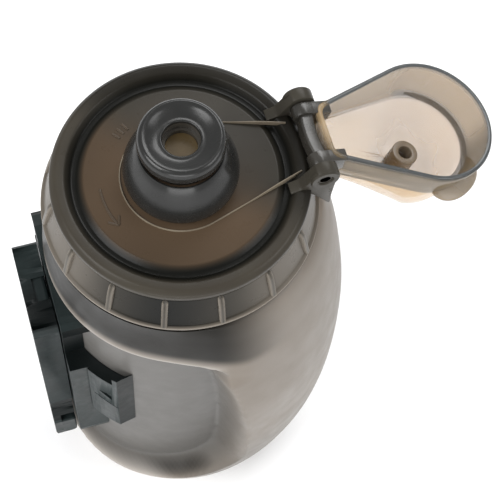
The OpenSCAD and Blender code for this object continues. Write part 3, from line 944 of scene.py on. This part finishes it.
def wing_groove(start, end, width, depth):
    """Cutter that follows the near wing's face from one (angle, height) to another."""
    path = [wing_spot(*np.add(start, np.subtract(end, start) * k)) for k in np.linspace(0, 1, 16)]
    low, high = 1 - depth / WING_R, 1 + depth / WING_R
    section = [(low, -width / 2), (high, -width / 2), (high, width / 2), (low, width / 2)]
    return loft([[(x * grow, y * grow, z + up) for grow, up in section] for x, y, z in path], caps=True)


def wing_arrow():
    """Cutter for the plain arrowhead on the near wing."""
    corners = [(39, 65.5), (45.4, 67.3), (45.4, 63.7)]
    return loft([[wing_spot(turn, z, r) for turn, z in corners] for r in (WING_R - 0.45, WING_R + 1)],
                caps=True)


def make_connector():
    obj = copy_of("connector_plate", "bottle_connector")
    marks = [wing_arrow(), wing_groove((36.6, 61.5), (48.4, 59.6), 0.4, 0.5)]
    bevel(obj, 0.4)
    cut(obj, *[solid(f"wing_mark_{i}", m) for i, m in enumerate([*marks, *map(mirrored, marks)])])
    flat_shaded(piece(obj, "bottle", NYLON, "mount_nylon", "bottle_connector"))
    centre, facing = face_centres(obj)
    aside, height = np.abs(centre[:, 1]), centre[:, 2]
    window = (height > WINDOW[0]) & (height < WINDOW[1]) & (aside > 8)
    tip = (np.degrees(np.arctan2(aside, -centre[:, 0])) > WING_TIP) & (np.abs(facing[:, 2]) < 0.5)
    shelf = (facing[:, 2] > UPWARD) & (height < WINDOW[0] + 8)
    # Painted shade: near black in the side windows, on the wings' sloped ends and on the upward shelves under
    # the windows.
    paint_faces(obj, "painted_shade", np.maximum.reduce([0.85 * window, 0.7 * tip, 0.6 * shelf]))


def make_base():
    obj = copy_of("bike_base_plate", "bike_base")
    bevel(obj, 0.45)
    flat_shaded(piece(obj, "mount_base", NYLON, "mount_nylon", "bike_base"))
    centre, facing = face_centres(obj)
    y, height = centre[:, 1], centre[:, 2]
    near_side = ease((5 - y) / 8) * ease(y + BASE_SIDE)
    scoop = (facing[:, 2] > UPWARD) * (height > SCOOP_LOW) * near_side
    inside = (np.abs(y) < BASE_SIDE) & (np.abs(facing[:, 1]) > 0.3)
    waist = (height > WAIST[0]) & (height < WAIST[1]) & inside
    # Painted shade: near black on the top scoop's upward faces and in the side scoops at the waist.
    paint_faces(obj, "painted_shade", np.maximum(0.85 * scoop, 0.75 * waist))


def bolt_cutter(height):
    """Round rod along X through the base, at a bolt's height above the ground."""
    turns = np.linspace(0, 2 * math.pi, 48, endpoint=False)
    return loft([[(-x, BOLT_R * math.cos(a), height + BOLT_R * math.sin(a)) for a in turns]
                 for x in (BASE_FACE - 2, BASE_BACK + 2)], caps=True)


def base_block(name, low, high, half_y, inner_x, bolt=None):
    """Block that fills the base out between its frame side and inner_x, with a bolt hole if one is given."""
    outline = fillet([(-BASE_BACK, low - RIM, 0.5), (inner_x, low - RIM, 1.6), (inner_x, high - RIM, 0.8),
                      (-BASE_BACK, high - RIM, 0.5)], 4)
    block = solid(name, prism(outline, -half_y, half_y))
    bevel(block, 0.5)
    if bolt:
        cut(block, solid("bolt_cutter", bolt_cutter(bolt)))
    flat_shaded(piece(block, "mount_base", NYLON, "mount_nylon"))


make_connector()
make_base()
low_end, high_end = BASE_LOW[2], BASE_HIGH[2]
base_block("bike_base_foot", low_end + 0.1, low_end + 9.4, 10.9, -BASE_FACE, low_end + BOLT_UP)
base_block("bike_base_bridge", high_end - 4.2, high_end - 2.45, 4.7, -BASE_FACE - 0.1)

# ------------------------------------------------------------------ CAD nodes that stay

for node, material in (("cap_gasket", RUBBER), ("valve_core", VALVE), ("mouthpiece_core", CORE),
                       ("mouthpiece_o_ring", RUBBER), ("hinge_pin", STEEL), ("connector_magnets", NICKEL),
                       ("base_magnets", NICKEL)):
    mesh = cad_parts[node].data
    mesh.materials.clear()
    mesh.materials.append(material)

# ------------------------------------------------------------------ stage, light and camera

def make_floor():
    """Pale paper, in metres."""
    size = 3.0
    corners = [(-size, -size, 0), (size, -size, 0), (size, size, 0), (-size, size, 0)]
    mesh = bpy.data.meshes.new("floor")
    mesh.from_pydata(corners, [], [(0, 1, 2, 3)])
    floor = bpy.data.objects.new("floor", mesh)
    bpy.context.scene.collection.objects.link(floor)
    s = Shade("floor_paper", 0.8, 0.1)
    paper = s.ramp(s.noise(60), 0, 1, 0.3, 0.7)
    s.colour(s.mix(paper, tone(246, 246, 247), tone(248, 248, 248)))
    mesh.materials.append(s.material)


def area_light(name, place, aim_height, width, height, power):
    """Soft light at a place in metres, turned to a height on the object's axis."""
    aim = (0, 0, aim_height)
    data = bpy.data.lights.new(name, "AREA")
    data.shape, data.size, data.size_y = "RECTANGLE", width, height
    data.energy = power
    lamp = bpy.data.objects.new(name, data)
    bpy.context.scene.collection.objects.link(lamp)
    lamp.location = place
    lamp.rotation_euler = (Vector(aim) - Vector(place)).to_track_quat("-Z", "Y").to_euler()


def make_camera():
    """Looks down on the cap from the front left, with the picture turned a few degrees."""
    azimuth, elevation, roll = math.radians(-22.655), math.radians(66.292), math.radians(6.878)
    aim, distance = Vector((8.53, -19.27, RIM)) * MM, 289.41 * MM
    back = Vector((math.sin(azimuth) * math.cos(elevation), -math.cos(azimuth) * math.cos(elevation),
                   math.sin(elevation)))
    right = Vector((math.cos(azimuth), math.sin(azimuth), 0))
    up = back.cross(right)
    tilted = right * math.cos(roll) + up * math.sin(roll)
    data = bpy.data.cameras.new("camera")
    data.lens, data.sensor_width = 108, 36
    data.clip_start, data.clip_end = 0.01, 20
    camera = bpy.data.objects.new("camera", data)
    bpy.context.scene.collection.objects.link(camera)
    turn = Matrix((tilted, back.cross(tilted), back)).transposed().to_4x4()
    camera.matrix_world = Matrix.Translation(aim + back * distance) @ turn
    bpy.context.scene.camera = camera


def make_world():
    """Plain pale surroundings."""
    world = bpy.data.worlds.new("studio")
    bpy.context.scene.world = world
    world.use_nodes = True
    world.node_tree.nodes["Background"].inputs["Color"].default_value = (0.97, 0.985, 1, 1)
    world.node_tree.nodes["Background"].inputs["Strength"].default_value = 0.56
    bpy.context.scene.view_settings.view_transform = "Standard"


make_floor()
make_world()
make_camera()
area_light("soft_left", (-1.1, -0.2, 1.2), 0.08, 0.9, 0.9, 19)
area_light("soft_back", (0.7, 1.0, 1.3), 0, 1.1, 0.8, 17)
area_light("soft_front", (-0.35, -1.3, 0.3), 0.03, 1.2, 0.5, 9)
area_light("soft_right", (1.2, -0.6, 1.2), 0, 0.9, 0.8, 10)
